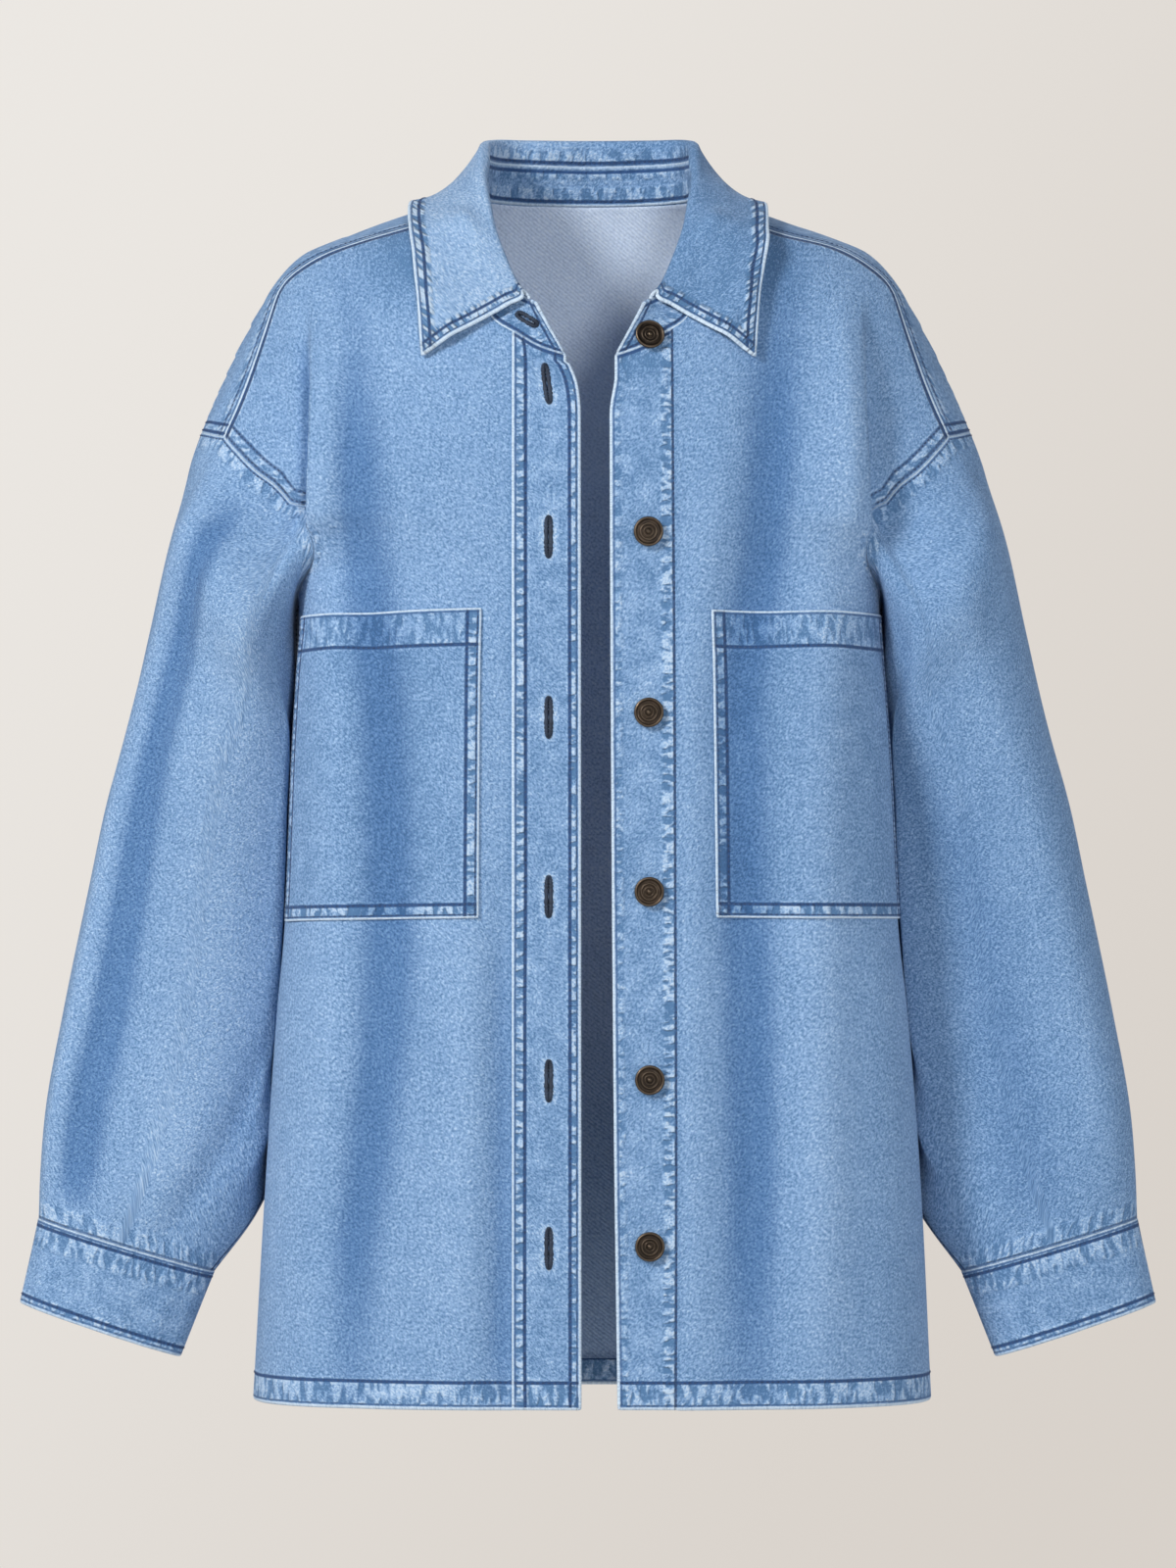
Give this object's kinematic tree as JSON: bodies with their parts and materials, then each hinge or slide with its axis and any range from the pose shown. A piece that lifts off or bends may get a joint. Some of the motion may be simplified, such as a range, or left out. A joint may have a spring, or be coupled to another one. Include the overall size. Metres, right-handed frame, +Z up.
{
  "type": "denim shacket",
  "caption": "Open-front denim overshirt with a pointed collar, drop shoulders, long cuffed sleeves and two patch chest pockets, standing as if filled out.",
  "frame": {"origin": "midway between the two high shoulder points, at their height, where the wearer's shoulders carry the garment", "axes": "+Z up, +X to the wearer's left, -Y the garment's front"},
  "size_m": [0.6871, 0.2137, 0.763],
  "materials": {
    "denim": "washed light blue cotton twill, matt, with whitened seam edges and a grey-lavender wrong side",
    "antique_brass": "dark aged brass, softly shiny, with concentric rings"
  },
  "bodies": {
    "root": {"back": "denim", "front_left": "denim", "front_right": "denim", "sleeve_left": "denim", "sleeve_right": "denim", "cuff_left": "denim", "cuff_right": "denim", "collar_stand": "denim", "collar": "denim", "placket_left": "denim", "placket_right": "denim", "pocket_left": "denim", "pocket_right": "denim", "button_1": "antique_brass", "button_2": "antique_brass", "button_3": "antique_brass", "button_4": "antique_brass", "button_5": "antique_brass", "button_6": "antique_brass"}
  },
  "joints": []
}
